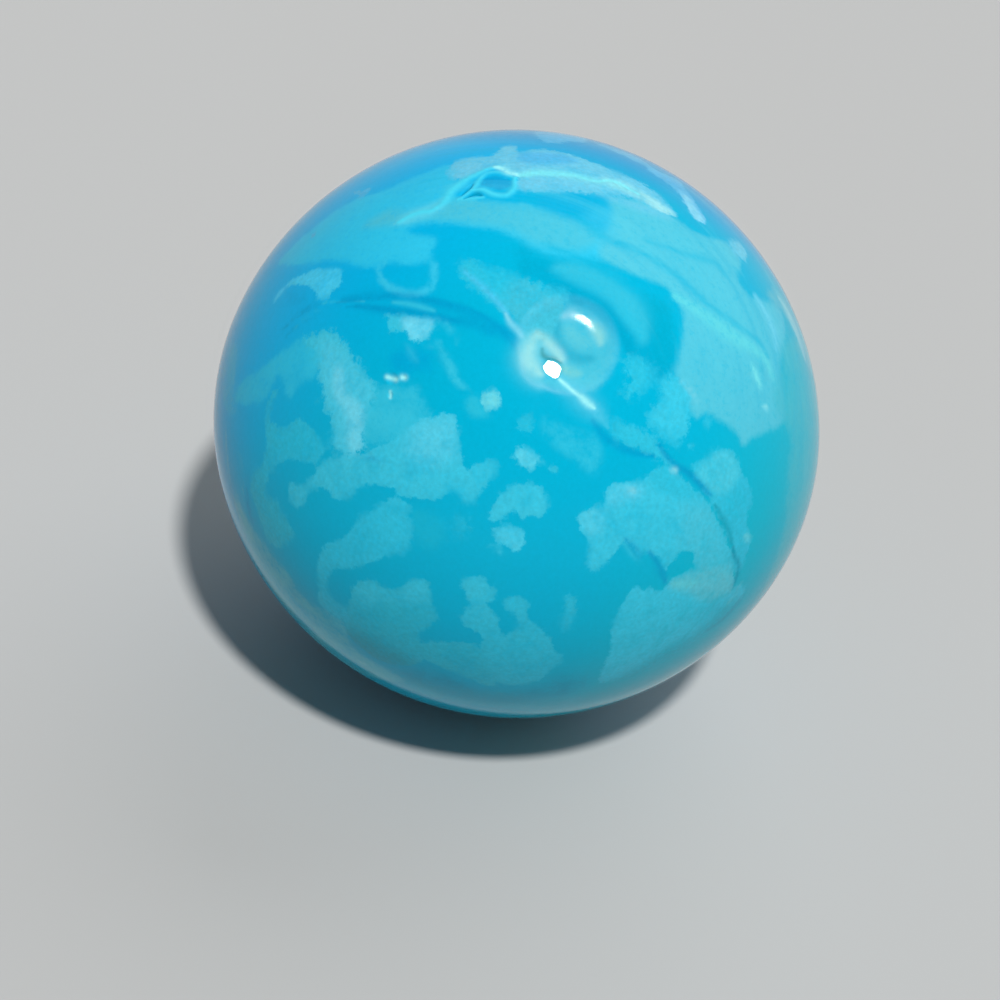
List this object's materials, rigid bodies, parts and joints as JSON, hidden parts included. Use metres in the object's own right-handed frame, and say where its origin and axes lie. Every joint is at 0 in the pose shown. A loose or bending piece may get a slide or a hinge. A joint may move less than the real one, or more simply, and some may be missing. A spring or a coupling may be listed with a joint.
{
  "type": "glass marble",
  "caption": "Opaque swirled glass playing marble: a small solid ball, a little out of round, with folds, seams and knocks in its skin.",
  "frame": {"origin": "centre of the ball", "axes": "+Z along the ball's short axis, out of the pole with the larger cut-off fold; -Y out of the face with the dent and the long seam; +X to the right of that face"},
  "size_m": [0.016, 0.016, 0.0154],
  "materials": {
    "glass": "polished opaque turquoise glass with paler patches and veils"
  },
  "bodies": {
    "root": {"marble": "glass"}
  },
  "joints": []
}
